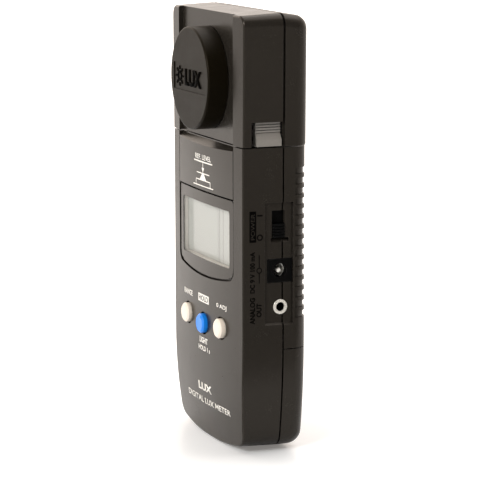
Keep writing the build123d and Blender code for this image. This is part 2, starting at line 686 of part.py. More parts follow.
# ---------------------------------------------------------------- latches
def latch_right():
    """Press-in latch: ribbed finger pad, retaining flange and a finger that reaches into the body."""
    face = HALF - 0.2
    low, high = LATCH_Z
    crest = face - 1.3
    root = crest - 0.5
    facet_low = low + 2.3
    facet_high = facet_low + 2.9
    section = [(32.4, low), (face, low), (face, facet_low), (root, facet_high)]
    for index in range(4):
        z = facet_high + 0.12 + RIB_PITCH * index
        section += [(root, z), (crest, z), (crest, z + RIB_PITCH * 0.55), (root, z + RIB_PITCH * 0.55)]
    section += [(root, high), (32.4, high)]
    face_plane = Plane.XZ.offset(-LATCH_Y[0])
    pad = extrude(face_plane * make_face(Polyline(*section, close=True)), LATCH_Y[0] - LATCH_Y[1])
    flange = block((32.4, 33.5), (LATCH_Y[0] + 0.3, LATCH_Y[1]), (low, high + 1.6))
    finger = block(LATCH_FINGER_X, LATCH_FINGER_Y, (LATCH_FINGER_END, high + 1.6))
    return pad + flange + finger


def latch_springs():
    """Bent leaf spring behind each latch, drawn at its pressed length."""
    outline = Polyline((27.4, 124.0), (27.4, 130.5), (29.6, 130.5), (29.6, 130.1), (27.8, 130.1),
                       (27.8, 127.6), (29.6, 126.4), (29.6, 125.9), (27.8, 127.0), (27.8, 124.0), close=True)
    return pair(extrude(Plane.XZ.offset(5.0) * make_face(outline), -4.0))


# ---------------------------------------------------------------- sensor
def sensor_collar():
    """Round collar in front of the head, stepped inside for the diffuser and the filter."""
    collar = rod_y(0, SENSOR_Z, COLLAR_RADIUS, COLLAR_FRONT_Y, CHANNEL_Y)
    collar = chamfer(collar.edges().group_by(Axis.Y)[0], 0.5)
    collar += rod_y(0, SENSOR_Z, NECK_RADIUS, CHANNEL_Y - 0.1, -8.8)
    collar -= rod_y(0, SENSOR_Z, DIFFUSER_RADIUS + 0.05, -30, -15.4)
    return collar - rod_y(0, SENSOR_Z, 10.5, -16, 0)


def diffuser():
    """Opal disc with a shallow dome."""
    seat = rod_y(0, SENSOR_Z, DIFFUSER_RADIUS, -17.4, -15.4)
    radius = (DIFFUSER_RADIUS**2 + DIFFUSER_CROWN**2) / (2 * DIFFUSER_CROWN)
    dome = Pos(0, -17.4 - DIFFUSER_CROWN + radius, SENSOR_Z) * Sphere(radius)
    return seat + (dome & rod_y(0, SENSOR_Z, DIFFUSER_RADIUS, -17.4 - DIFFUSER_CROWN, -17.39))


def colour_filter():
    """Colour-correction glass behind the diffuser."""
    return rod_y(0, SENSOR_Z, 10.4, -15.4, -13.4)


def photodiode():
    """Can-packaged photodiode with a recessed window."""
    can = rod_y(0, SENSOR_Z, 6.2, -13.2, -9.8) + rod_y(0, SENSOR_Z, 7.0, -9.8, -8.6)
    return can - rod_y(0, SENSOR_Z, 4.6, -14, -12.9)


def sensor_board():
    """Round-cornered board that carries the photodiode."""
    board = block((-21.0, 21.0), (-8.6, -7.0), (131.5, 158.5))
    board = fillet(board.edges().filter_by(Axis.Y), 2.0)
    return board


def collar_nut():
    """Ring that clamps the collar from inside the head."""
    ring = rod_y(0, SENSOR_Z, 18.2, LEDGE_BACK_Y, -9.3) - rod_y(0, SENSOR_Z, NECK_RADIUS + 0.05, -20, 0)
    for angle in (0, 60, 120):
        ring -= Pos(0, -9.3, SENSOR_Z) * Rot(0, angle, 0) * Box(40, 1.2, 1.6)
    return ring


def sensor_cap():
    """Push-on round cap with a shallow rectangular panel on its face."""
    cap = rod_y(0, SENSOR_Z, CAP_RADIUS, CAP_FRONT_Y, CHANNEL_Y - 0.3)
    cap = fillet(cap.edges().group_by(Axis.Y)[0], 0.8)
    cap -= rod_y(0, SENSOR_Z, CAP_RADIUS - CAP_WALL, CAP_FRONT_Y + CAP_WALL, 0)
    return cap - block((-16.5, 16.5), (-30, CAP_FRONT_Y + 0.35), (SENSOR_Z - 5.3, SENSOR_Z + 5.3))


# ---------------------------------------------------------------- power
def battery():
    """Block battery lying across the bay."""
    block_battery = block(*BATTERY)
    return fillet(block_battery.edges().filter_by(Axis.X), 1.5)


def battery_terminals():
    """The battery's two snap studs."""
    x = BATTERY[0][0]
    y = sum(BATTERY[1]) / 2
    z = sum(BATTERY[2]) / 2
    male = rod_x(y, z - 6.3, 2.9, x - 2.7, x)
    female = rod_x(y, z + 6.3, 3.9, x - 2.7, x) - rod_x(y, z + 6.3, 3.0, x - 3, x - 0.8)
    return group([male, female])


def battery_snap():
    """Snap connector pressed on the studs."""
    x = BATTERY[0][0] - 2.7
    y = sum(BATTERY[1]) / 2
    z = sum(BATTERY[2]) / 2
    plate = block((x - 3.2, x), (y - 6.3, y + 6.3), (z - 12.4, z + 12.4))
    return fillet(plate.edges().filter_by(Axis.X), 3.0)


def battery_wire(x):
    """Insulated wire from the snap connector to the foot of the main board."""
    y = -0.5
    board_y = BOARD_Y[1] + 0.75
    start = (x, y, sum(BATTERY[2]) / 2 + 12.4)
    path = FilletPolyline(start, (x, y, 37.2), (x, board_y, 40.2), (x, board_y, 43.6), radius=2.0)
    return sweep(Plane(start, z_dir=path % 0) * Circle(0.7), path=path)


def battery_pad():
    """Foam strip between the tray and the battery."""
    return block((-18.0, 24.0), (-6.6, -6.0), (11.0, 30.0))


def rating_label():
    """Blank label let into the back."""
    label = block((-22.0, 22.0), (BACK_Y - 0.5, BACK_Y - 0.1), (60.0, 92.0))
    return fillet(label.edges().filter_by(Axis.Y), 2.0)


# ---------------------------------------------------------------- assembly
def build_body():
    """All pieces of the body."""
    front_outer = front_form(body_outline, 0)
    rear_outer = rear_form(body_outline, 0, REAR_ROUND)
    front_inner = front_form(body_outline, WALL)
    rear_inner = rear_form(body_outline, WALL, REAR_ROUND - WALL)
    groove = groove_ring(body_outline, BODY_GROOVE)
    save("front_case", front_case(front_outer, front_inner, groove))
    save("back_case", back_case(rear_outer, rear_inner, groove, grip_pockets()))
    save("battery_cover", battery_cover(rear_outer, rear_inner, groove))
    save("top_panel", top_panel(front_outer))
    save("display_window", display_window(front_outer))
    save("battery_tray", battery_tray(front_inner))
    save("case_screws", shell_screws(CASE_SCREWS))


def build_display():
    """Display stack and keys."""
    save("lcd_panel", lcd_panel())
    save("display_frame", display_frame())
    save("backlight", backlight())
    save("contact_strips", contact_strips())
    save("key_switches", key_switches())
    for name, (x, z) in BUTTONS.items():
        save(name, push_button(x, z))


def build_electronics():
    """Boards, chips, connectors and battery parts."""
    save("main_board", main_board())
    save("board_screws", board_screws())
    save("processor", processor())
    save("small_chips", small_chips())
    save("trimmers", trimmers())
    save("capacitors", capacitors())
    save("side_board", side_board())
    save("switch_housing", switch_housing())
    save("power_knob", power_knob())
    save("dc_jack_housing", dc_jack_housing())
    save("dc_jack_pin", dc_jack_pin())
    save("dc_jack_spring", dc_jack_spring())
    save("output_jack_housing", output_jack_housing())
    save("output_jack_ring", output_jack_ring())
    save("body_socket", body_socket())
    save("socket_pins", socket_pins())
    save("battery", battery())
    save("battery_terminals", battery_terminals())
    save("battery_snap", battery_snap())
    save("red_wire", battery_wire(-25.0))
    save("black_wire", battery_wire(-26.6))
    save("battery_pad", battery_pad())
    save("rating_label", rating_label())


def build_head():
    """Detachable sensor head."""
    front_outer = front_form(head_outline, 0)
    rear_outer = rear_form(head_outline, 0, HEAD_REAR_ROUND, HEAD_REAR_SLOPE)
    front_inner = front_form(head_outline, WALL)
    rear_inner = rear_form(head_outline, WALL, HEAD_INNER_ROUND, HEAD_REAR_SLOPE)
    groove = groove_ring(head_outline, HEAD_GROOVE)
    save("head_front_case", head_front_case(front_outer, front_inner, groove))
    save("head_rear_case", head_rear_case(rear_outer, rear_inner, groove))
    save("head_screws", shell_screws(HEAD_SCREWS))
    save("sensor_collar", sensor_collar())
    save("collar_nut", collar_nut())
    save("diffuser", diffuser())
    save("colour_filter", colour_filter())
    save("photodiode", photodiode())
    save("sensor_board", sensor_board())
    save("sensor_cap", sensor_cap())
    save("head_plug", head_plug())
    save("head_lead", head_lead())
    right = latch_right()
    save("latch_right", right)
    save("latch_left", mirrored(right))
    save("latch_springs", latch_springs())


if __name__ == "__main__":
    os.makedirs("parts", exist_ok=True)
    build_body()
    build_display()
    build_electronics()
    build_head()
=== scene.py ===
import math
import bmesh
import bpy
from mathutils import Matrix, Vector
from mathutils.bvhtree import BVHTree


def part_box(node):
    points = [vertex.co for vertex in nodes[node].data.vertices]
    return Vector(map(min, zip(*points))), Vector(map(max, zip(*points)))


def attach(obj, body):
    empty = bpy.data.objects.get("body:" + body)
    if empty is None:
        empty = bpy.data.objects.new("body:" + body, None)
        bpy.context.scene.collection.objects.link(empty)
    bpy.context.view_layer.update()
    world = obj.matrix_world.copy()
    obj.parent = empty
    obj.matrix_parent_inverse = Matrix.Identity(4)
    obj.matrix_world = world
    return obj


# Looks for the handheld lux meter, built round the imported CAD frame, in metres.

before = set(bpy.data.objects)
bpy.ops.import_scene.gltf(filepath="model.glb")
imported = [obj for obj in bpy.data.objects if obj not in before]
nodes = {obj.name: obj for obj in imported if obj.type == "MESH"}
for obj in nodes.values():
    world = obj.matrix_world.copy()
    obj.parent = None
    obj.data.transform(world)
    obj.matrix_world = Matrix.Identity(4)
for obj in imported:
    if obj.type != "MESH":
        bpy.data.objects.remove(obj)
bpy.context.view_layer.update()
MM = 0.001


# ---------------------------------------------------------------- shader helpers
EDGE_RADIUS = 0.0004            # metres, width of the worn band along an edge
EDGE_TURN = (0.86, 0.985)       # agreement of bevelled and true normal: fully worn, unworn
SHADE_REACH = 0.0014           # metres within which a gap counts as narrow, for the painted shade
SHADE_OPEN = (0.25, 0.62)      # share of open sky: full painted shade, no painted shade
GRAIN_SHARE = 0.35              # how strongly the fine grain shows in the colour
GRAIN_TONE = 0.8
SCUFF_SCALE = 900.0
SMUDGE_SCALE = 120.0
WORN_LIFT = 0.02
WORN_GAIN = 2.2
FINE_ROUGH = 0.03


class Tree:
    """Small helper that adds and wires nodes in one shader tree."""

    def __init__(self, tree, space):
        self.tree = tree
        self.coords = tree.nodes.new("ShaderNodeTexCoord").outputs[space]

    def add(self, kind, **settings):
        node = self.tree.nodes.new(kind)
        for key, value in settings.items():
            setattr(node, key, value)
        return node

    def wire(self, source, target):
        self.tree.links.new(source, target)

    def noise(self, scale, detail, roughness):
        node = self.add("ShaderNodeTexNoise")
        node.inputs["Scale"].default_value = scale
        node.inputs["Detail"].default_value = detail
        node.inputs["Roughness"].default_value = roughness
        self.wire(self.coords, node.inputs["Vector"])
        return node.outputs["Fac"]

    def spread(self, value, low, high, start=0.3, end=0.7):
        """Map start..end of a value to low..high."""
        node = self.add("ShaderNodeMapRange")
        node.inputs["From Min"].default_value = start
        node.inputs["From Max"].default_value = end
        node.inputs["To Min"].default_value = low
        node.inputs["To Max"].default_value = high
        self.wire(value, node.inputs["Value"])
        return node.outputs["Result"]

    def math(self, operation, a, b):
        node = self.add("ShaderNodeMath", operation=operation)
        for slot, value in enumerate((a, b)):
            if isinstance(value, (int, float)):
                node.inputs[slot].default_value = value
            else:
                self.wire(value, node.inputs[slot])
        return node.outputs[0]

    def blend(self, factor, a, b, kind="RGBA"):
        """Mix two colours, or with kind FLOAT two numbers."""
        node = self.add("ShaderNodeMix", data_type=kind)
        for key, value in (("Factor", factor), ("A", a), ("B", b)):
            socket = [s for s in node.inputs if s.name == key and s.enabled][0]
            if isinstance(value, (int, float)):
                socket.default_value = value
            elif isinstance(value, tuple):
                socket.default_value = (*value, 1.0)
            else:
                self.wire(value, socket)
        return [s for s in node.outputs if s.enabled][0]


class Shader(Tree):
    """Tree of one new material, with its principled shader."""

    def __init__(self, name):
        self.material = bpy.data.materials.new(name)
        self.material.use_nodes = True
        super().__init__(self.material.node_tree, "Object")
        self.bsdf = self.tree.nodes["Principled BSDF"]

    def bump(self, height, strength, distance):
        node = self.add("ShaderNodeBump")
        node.inputs["Strength"].default_value = strength
        node.inputs["Distance"].default_value = distance
        self.wire(height, node.inputs["Height"])
        self.wire(node.outputs["Normal"], self.bsdf.inputs["Normal"])

    def set(self, **values):
        for key, value in values.items():
            self.bsdf.inputs[key.replace("_", " ")].default_value = value


def scaled(colour, factor):
    return tuple(min(1.0, c * factor) for c in colour)


def edge_mask(shader):
    """1 on worn convex edges, 0 elsewhere."""
    bevel = shader.add("ShaderNodeBevel", samples=4)
    bevel.inputs["Radius"].default_value = EDGE_RADIUS
    geometry = shader.add("ShaderNodeNewGeometry")
    dot = shader.add("ShaderNodeVectorMath", operation="DOT_PRODUCT")
    shader.wire(bevel.outputs["Normal"], dot.inputs[0])
    shader.wire(geometry.outputs["Normal"], dot.inputs[1])
    return shader.spread(dot.outputs["Value"], 1.0, 0.0, *EDGE_TURN)


def gap_shade_mask(shader):
    """Painted shade: 1 deep in narrow gaps, where ambient occlusion finds little open sky, 0 on open faces.
    """
    occlusion = shader.add("ShaderNodeAmbientOcclusion", samples=6, only_local=False)
    occlusion.inputs["Distance"].default_value = SHADE_REACH
    return shader.spread(occlusion.outputs["AO"], 1.0, 0.0, *SHADE_OPEN)


def surface(name, colour, roughness, tone=0.08, tone_scale=45.0, grain=2600.0, relief=0.25,
            depth=0.00003, rough_spread=0.08, wear=0.0, gap_shade=0.08, **sockets):
    """Material with mottled colour, uneven gloss, fine relief, painted shade darkening narrow gaps and,
    where asked, worn edges.
    """
    shader = Shader(name)
    broad = shader.noise(tone_scale, 3.0, 0.55)
    fine = shader.noise(grain, 2.0, 0.6)
    base = shader.blend(shader.spread(broad, 0.0, 1.0), scaled(colour, 1 - tone), scaled(colour, 1 + tone))
    base = shader.blend(shader.spread(fine, 0.0, GRAIN_SHARE), base, scaled(colour, GRAIN_TONE))
    if wear:
        scuffs = shader.spread(shader.noise(SCUFF_SCALE, 4.0, 0.65), 0.0, 1.0, 0.42, 0.62)
        mask = shader.math("MULTIPLY", edge_mask(shader), shader.math("MULTIPLY", scuffs, wear))
        base = shader.blend(mask, base, scaled(tuple(c + WORN_LIFT for c in colour), WORN_GAIN))
    # Painted shade: in narrow gaps the colour is scaled down by the shade factor, darkening them where
    # shade falls.
    base = shader.blend(gap_shade_mask(shader), base, scaled(colour, gap_shade))
    shader.wire(base, shader.bsdf.inputs["Base Color"])
    smudge = shader.spread(shader.noise(SMUDGE_SCALE, 4.0, 0.6), -rough_spread, rough_spread)
    gloss = shader.math("ADD", smudge, shader.spread(fine, -FINE_ROUGH, FINE_ROUGH))
    shader.wire(shader.math("ADD", gloss, roughness), shader.bsdf.inputs["Roughness"])
    shader.bump(fine, relief, depth)
    shader.set(**sockets)
    return shader.material


# ---------------------------------------------------------------- materials
WARM = (1.0, 0.90, 0.80, 1.0)
BROWN = (1.0, 0.86, 0.70, 1.0)
CASE_COLOUR = (0.0190, 0.0165, 0.0135)
moulded = {"tone": 0.03, "wear": 0.35, "Specular_Tint": WARM, "Specular_IOR_Level": 0.3}
finishes = {
    "case_plastic": surface("case_plastic", CASE_COLOUR, 0.24, rough_spread=0.025, **moulded),
    "panel_plastic": surface("panel_plastic", CASE_COLOUR, 0.23, rough_spread=0.02, relief=0.12,
                             **{**moulded, "wear": 0.3}),
    "cap_plastic": surface("cap_plastic", (0.0060, 0.0045, 0.0022), 0.40, tone=0.05, rough_spread=0.03,
                           relief=0.35, wear=0.3, Specular_Tint=BROWN, Specular_IOR_Level=0.10),
    "black_plastic": surface("black_plastic", (0.003, 0.003, 0.003), 0.42, wear=0.3,
                             Specular_IOR_Level=0.06),
    "latch_plastic": surface("latch_plastic", (0.235, 0.22, 0.20), 0.34, tone=0.04, rough_spread=0.03,
                             relief=0.12, wear=0.3),
    "button_white": surface("button_white", (0.96, 0.86, 0.74), 0.33, tone=0.02, relief=0.08),
    "button_blue": surface("button_blue", (0.004, 0.255, 0.95), 0.33, tone=0.03, relief=0.08,
                           Specular_IOR_Level=0.6),
    "window_clear": surface("window_clear", (0.02, 0.02, 0.02), 0.06, rough_spread=0.02, relief=0.02,
                            Alpha=0.06),
    "display_glass": surface("display_glass", (0.52, 0.535, 0.505), 0.12, tone=0.01, relief=0.0,
                             rough_spread=0.02),
    "light_guide": surface("light_guide", (0.85, 0.86, 0.84), 0.4, tone=0.02),
    "elastomer": surface("elastomer", (0.03, 0.03, 0.03), 0.7, tone=0.2),
    "circuit_board": surface("circuit_board", (0.02, 0.13, 0.05), 0.35, tone=0.15, tone_scale=300.0),
    "chip_black": surface("chip_black", (0.015, 0.015, 0.015), 0.55, relief=0.5),
    "steel": surface("steel", (0.55, 0.54, 0.52), 0.32, Metallic=1.0),
    "nickel": surface("nickel", (0.97, 0.94, 0.86), 0.30, tone=0.03, relief=0.05, Metallic=0.45),
    "gold_contact": surface("gold_contact", (0.75, 0.53, 0.20), 0.25, Metallic=1.0),
    "opal": surface("opal", (0.85, 0.85, 0.82), 0.35, tone=0.02),
    "filter_glass": surface("filter_glass", (0.25, 0.45, 0.2), 0.1, tone=0.03),
    "capacitor_sleeve": surface("capacitor_sleeve", (0.02, 0.04, 0.15), 0.3),
    "trimmer_blue": surface("trimmer_blue", (0.03, 0.14, 0.45), 0.35),
    "battery_jacket": surface("battery_jacket", (0.12, 0.12, 0.125), 0.3, Metallic=0.8),
    "red_insulation": surface("red_insulation", (0.5, 0.015, 0.012), 0.35),
    "black_insulation": surface("black_insulation", (0.012, 0.012, 0.012), 0.35),
    "foam": surface("foam", (0.04, 0.04, 0.04), 0.9, grain=1500.0, relief=0.9, depth=0.0002),
    "label": surface("label", (0.5, 0.5, 0.49), 0.35, tone=0.03, Metallic=0.5),
}
white_ink = surface("white_ink", (0.95, 0.92, 0.86), 0.5, tone=0.04, tone_scale=900.0, relief=0.1)
dark_ink = surface("dark_ink", (0.0020, 0.0018, 0.0015), 0.6, tone=0.2, tone_scale=900.0, relief=0.1,
                   Specular_IOR_Level=0.01)
# Painted highlight: near-white base colour, little metal and no painted gap shade, so the jack's pin shows
# the bright dot that a highlight on its dome gives.
pin_highlight = surface("pin_highlight", (0.97, 0.95, 0.88), 0.28, tone=0.02, relief=0.05, gap_shade=1.0, Metallic=0.1)
# Painted reflection: darker grey for the thin lines laid on the display glass.
reflection_paint = surface("reflection_paint", (0.27, 0.275, 0.25), 0.2, tone=0.02, relief=0.0)
bezel_paint = surface("bezel_paint", (0.74, 0.71, 0.66), 0.45, tone=0.04, relief=0.1)

for node in nodes.values():
    for index, slot in enumerate(node.data.materials):
        key = slot.name.split(".")[0]
        if key in finishes:
            node.data.materials[index] = finishes[key]
# The jack's pin and spring take the painted-highlight finish.
for name in ("dc_jack_pin", "dc_jack_spring"):
    nodes[name].data.materials[0] = pin_highlight


# ---------------------------------------------------------------- printed and moulded marks
STEP = 1.5                      # millimetres between the points of a long printed line
SIDE_CUTS = 16                  # pieces that each side of a rounded outline is divided into
RAY_START = 0.1                 # metres outside the instrument, where the drop onto its surface starts
FRONT = ((1, 0, 0), (0, 0, 1), (0, 1, 0))      # right, up and into the surface
SIDE = ((0, 0, 1), (0, -1, 0), (-1, 0, 0))     # print that reads upwards on the right wall
BACK = ((-1, 0, 0), (0, 0, 1), (0, -1, 0))


class Mark:
    """Flat artwork in millimetres, laid on the surface of a CAD node as a thin closed relief."""

    def __init__(self):
        self.flat = bmesh.new()

    def text(self, words, centre, height, width, weight=0.0):
        """Words in the plain face, centred and fitted to a height and a width."""
        curve = bpy.data.curves.new("words", "FONT")
        curve.body = words
        curve.resolution_u = 4
        curve.offset = weight
        holder = bpy.data.objects.new("words", curve)
        bpy.context.scene.collection.objects.link(holder)
        depsgraph = bpy.context.evaluated_depsgraph_get()
        mesh = bpy.data.meshes.new_from_object(holder.evaluated_get(depsgraph))
        bpy.data.objects.remove(holder)
        xs = [v.co.x for v in mesh.vertices]
        ys = [v.co.y for v in mesh.vertices]
        tall = height / (max(ys) - min(ys))
        wide = width / (max(xs) - min(xs))
        for vertex in mesh.vertices:
            vertex.co.x = (vertex.co.x - (max(xs) + min(xs)) / 2) * wide + centre[0]
            vertex.co.y = (vertex.co.y - (max(ys) + min(ys)) / 2) * tall + centre[1]
        self.flat.from_mesh(mesh)
        bpy.data.meshes.remove(mesh)
        return self

    def polygon(self, points):
        self.flat.faces.new([self.flat.verts.new((x, y, 0)) for x, y in points])
        return self

    def line(self, start, end, thickness):
        """Straight stroke with square ends, cut short enough to follow a curved surface."""
        start, end = Vector(start), Vector(end)
        along = end - start
        across = Vector((-along.y, along.x)).normalized() * thickness / 2
        count = max(1, math.ceil(along.length / STEP))
        rails = []
        for index in range(count + 1):
            point = start + along * index / count
            rails.append([self.flat.verts.new((*(point + side * across), 0)) for side in (-1, 1)])
        for (a, b), (d, c) in zip(rails, rails[1:]):
            self.flat.faces.new((a, d, c, b))
        return self

    def path(self, points, thickness):
        for start, end in zip(points, points[1:]):
            self.line(start, end, thickness)
        return self

    def frame(self, inner, outer):
        """Band between two closed outlines with the same number of points."""
        rings = [[self.flat.verts.new((x, y, 0)) for x, y in ring] for ring in (inner, outer)]
        for index in range(len(inner)):
            a, b = rings[0][index - 1], rings[0][index]
            c, d = rings[1][index], rings[1][index - 1]
            self.flat.faces.new((a, b, c, d))
        return self

    def lay(self, name, host, origin, axes, finish, body, slot, proud=0.04, sunk=0.06):
        """Drop every point on the host along the view direction, then close the relief into a solid."""
        right, up, into = (Vector(axis) for axis in axes)
        tree = surface_tree(host)
        shape = self.flat
        bmesh.ops.remove_doubles(shape, verts=shape.verts[:], dist=0.0001)
        bmesh.ops.dissolve_degenerate(shape, edges=shape.edges[:], dist=0.0001)
        lower = list(shape.verts)
        made = bmesh.ops.extrude_face_region(shape, geom=shape.faces[:], use_keep_orig=True)
        upper = [item for item in made["geom"] if isinstance(item, bmesh.types.BMVert)]
        for group, height in ((lower, -sunk), (upper, proud)):
            for vertex in group:
                point = (Vector(origin) + right * vertex.co.x + up * vertex.co.y) * MM
                hit = tree.ray_cast(point - into * RAY_START, into)[0]
                if hit is None:
                    raise ValueError(name + " reaches beyond " + host)
                vertex.co = hit - into * height * MM
        bmesh.ops.recalc_face_normals(shape, faces=shape.faces[:])
        place(name, shape, finish, body)


def place(name, shape, finish, body):
    """Turn a finished shape into a piece that rides on a body."""
    mesh = bpy.data.meshes.new(name)
    shape.to_mesh(mesh)
    shape.free()
    mesh.materials.append(finish)
    piece = bpy.data.objects.new(name, mesh)
    bpy.context.scene.collection.objects.link(piece)
    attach(piece, body)


trees = {}


def surface_tree(host):
    """Search tree of a CAD node's surface."""
    if host not in trees:
        mesh = nodes[host].data
        corners = [vertex.co for vertex in mesh.vertices]
        trees[host] = BVHTree.FromPolygons(corners, [face.vertices for face in mesh.polygons])
    return trees[host]


def circle(centre, radius, count):
    return [(centre[0] + radius * math.cos(2 * math.pi * i / count),
             centre[1] + radius * math.sin(2 * math.pi * i / count)) for i in range(count)]


def rounded(x0, x1, z0, z1, radius, count=4):
    """Closed outline of a rounded rectangle whose sides are divided, to follow a curved surface."""
    points = []
    corners = [(x1 - radius, z1 - radius, 0), (x0 + radius, z1 - radius, 90),
               (x0 + radius, z0 + radius, 180), (x1 - radius, z0 + radius, 270)]
    for index, (x, z, angle) in enumerate(corners):
        arc = [math.radians(angle + 90 * i / count) for i in range(count + 1)]
        points += [(x + radius * math.cos(a), z + radius * math.sin(a)) for a in arc]
        following = corners[(index + 1) % 4]
        last = points[-1]
        a = math.radians(following[2])
        target = (following[0] + radius * math.cos(a), following[1] + radius * math.sin(a))
        for i in range(1, SIDE_CUTS):
            share = i / SIDE_CUTS
            points.append(tuple(p + (q - p) * share for p, q in zip(last, target)))
    return points


def sun(mark, centre, radius, thickness):
    """Round lamp with rays."""
    lamp = radius * 0.42
    ray_start = radius * 0.64
    mark.frame(circle(centre, lamp - thickness / 2, 24), circle(centre, lamp + thickness / 2, 24))
    for index in range(8):
        angle = math.pi * index / 4
        across, up = math.cos(angle), math.sin(angle)
        mark.line((centre[0] + ray_start * across, centre[1] + ray_start * up),
                  (centre[0] + radius * across, centre[1] + radius * up), thickness)
    return mark


# front face
marks = Mark().text("RANGE", (-17.4, 56.3), 2.2, 10.0, 0.02)
marks.text("0 ADJ", (17.7, 56.2), 2.2, 9.2, 0.02)
marks.text("LIGHT", (0, 39.5), 2.4, 8.4, 0.03)
marks.text("HOLD 1 s", (0.5, 36.2), 2.0, 12.0, 0.03)
marks.text("LUX", (0, 20.2), 3.2, 14.0, 0.04)
marks.text("DIGITAL LUX METER", (2.0, 14.7), 2.4, 44.0, 0.015)
marks.polygon([(-5.6, 54.9), (0, 54.9), (5.6, 54.9), (5.6, 58.1), (0, 58.1), (-5.6, 58.1)])
marks.lay("front_print", "front_case", (0, 0, 0), FRONT, white_ink, "body", "button_white")
plate = Mark().text("HOLD", (0, 56.5), 2.1, 9.4, 0.0)
plate.lay("hold_print", "front_case", (0, 0, 0), FRONT, dark_ink, "body", "black_plastic", 0.09)

# reference mark on the top panel
datum = Mark().text("REF. LEVEL", (0, 113.0), 2.0, 16.4, 0.01)
datum.line((-9.6, 111.2), (9.6, 111.2), 0.5)
datum.line((0, 110.9), (0, 108.4), 0.4)
datum.polygon([(-1.3, 108.9), (0, 106.9), (1.3, 108.9)])
datum.line((-6.6, 106.6), (6.6, 106.6), 0.4)
datum.polygon([(-3.6, 104.0), (3.6, 104.0), (0, 107.2)])
datum.line((-10.4, 101.6), (10.4, 101.6), 0.4)
datum.path([(-7.4, 101.6), (-7.4, 103.9), (7.4, 103.9), (7.4, 101.6)], 0.4)
datum.lay("datum_print", "top_panel", (0, 0, 0), FRONT, white_ink, "body", "button_white")

# right wall
panel = Mark().polygon([(84.4, 8.1), (96.4, 8.1), (96.4, 10.8), (84.4, 10.8)])
panel.line((94.7, 5.5), (94.7, 7.7), 0.6)
panel.frame(circle((86.2, 6.6), 0.75, 20), circle((86.2, 6.6), 1.25, 20))
panel.text("DC 9 V 100 mA", (72.7, 9.6), 2.0, 16.0, 0.03)
panel.frame(circle((73.4, 6.85), 0.8, 20), circle((73.4, 6.85), 1.15, 20))
panel.line((68.4, 6.85), (72.25, 6.85), 0.35)
panel.line((74.55, 6.85), (79.4, 6.85), 0.35)
panel.text("ANALOG", (57.7, 9.6), 2.1, 10.4, 0.035)
panel.text("OUT", (57.9, 6.95), 2.1, 5.4, 0.035)
power = Mark().text("POWER", (90.4, 9.45), 1.6, 10.0, 0.0)
power.lay("power_print", "front_case", (0, 0, 0), SIDE, finishes["case_plastic"], "body",
          "case_plastic", 0.08)
panel.lay("side_print", "front_case", (0, 0, 0), SIDE, dark_ink, "body", "black_plastic")

# moulded mark on the sensor cap
badge = Mark().text("LUX", (3.6, 0), 6.6, 17.0, 0.045)
sun(badge, (-10.6, 0), 4.0, 0.75)
badge.lay("cap_mark", "sensor_cap", (0, 0, 144.5), FRONT, dark_ink, "sensor_cap", "black_plastic", 0.3)

# rating label on the back
rating = Mark().text("DIGITAL LUX METER", (0, 86.5), 2.4, 30.0)
rating.line((-19.5, 83.4), (19.5, 83.4), 0.3)
rating.text("RANGE  0 - 20 000 lx", (0, 79.8), 2.0, 28.0)
rating.text("BATTERY  9 V", (0, 75.6), 2.0, 17.0)
rating.text("OUTPUT  DC", (0, 71.4), 2.0, 15.0)
rating.line((-19.5, 68.0), (19.5, 68.0), 0.3)
rating.frame(rounded(-19.5, 19.5, 62.0, 66.2, 0.5), rounded(-19.8, 19.8, 61.7, 66.5, 0.8))
rating.lay("label_print", "rating_label", (0, 0, 0), BACK, dark_ink, "body", "black_plastic")

# ---------------------------------------------------------------- display
VIEW_X, VIEW_Z = (-24.4, 24.4), (72.4, 94.9)
VIEW_CORNER = 1.2
PANE_MARGIN = 0.3               # clear band left along the border of the pane
PANE_ARCH = 140.0               # radius of the pane's lower border
PANE_CORNER = 3.7               # radius of the pane's lower corners inside the margin
MASK_RINGS = 6
BEZEL_SKIN = 0.45               # thickness of the light wall round the display
BEZEL_REST = 0.25               # gap between that wall and the front of the pane
pane_low, pane_high = (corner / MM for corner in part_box("display_window"))


def pane_edge(x, z):
    """Point of the pane's border straight outwards from a point of the viewing area."""
    left, right = pane_low.x + PANE_MARGIN, pane_high.x - PANE_MARGIN
    low, top = pane_low.z + PANE_MARGIN, pane_high.z - PANE_MARGIN
    x_out = min(max(x * (right / VIEW_X[1]), left), right)
    middle = sum(VIEW_Z) / 2
    if z > middle:
        return (x_out, middle + (z - middle) * (top - middle) / (VIEW_Z[1] - middle))
    arch = low + PANE_ARCH - math.sqrt(PANE_ARCH**2 - x_out**2)
    past = min(max(0.0, abs(x_out) - (right - PANE_CORNER)), PANE_CORNER - 0.01)
    arch += PANE_CORNER - math.sqrt(PANE_CORNER**2 - past**2)
    return (x_out, middle - (middle - z) * (middle - arch) / (middle - VIEW_Z[0]))


def window_mask():
    """Dark border printed on the pane round the viewing area."""
    mask = Mark()
    view = rounded(*VIEW_X, *VIEW_Z, VIEW_CORNER)
    border = [pane_edge(x, z) for x, z in view]
    previous = view
    for step in range(1, MASK_RINGS + 1):
        share = step / MASK_RINGS
        ring = [(x + (ex - x) * share, z + (ez - z) * share) for (x, z), (ex, ez) in zip(view, border)]
        mask.frame(previous, ring)
        previous = ring
    mask.lay("window_mask", "display_window", (0, 0, 0), FRONT, finishes["panel_plastic"], "body",
             "panel_plastic", 0.03, 0.2)


def painted_reflections():
    """Painted reflections: thin darker vertical lines laid on the display glass."""
    streaks = Mark()
    for x, thickness in ((7.5, 0.25), (9.1, 0.34), (12.8, 0.30)):
        streaks.line((x, VIEW_Z[0] + 0.3), (x, VIEW_Z[1] - 0.3), thickness)
    streaks.lay("painted_reflections", "lcd_panel", (0, 0, 0), FRONT, reflection_paint, "body", "display_glass", 0.02)


def view_outline(grow, radius):
    """Outline of the viewing area, grown on all sides."""
    return rounded(VIEW_X[0] - grow, VIEW_X[1] + grow, VIEW_Z[0] - grow, VIEW_Z[1] + grow, radius)


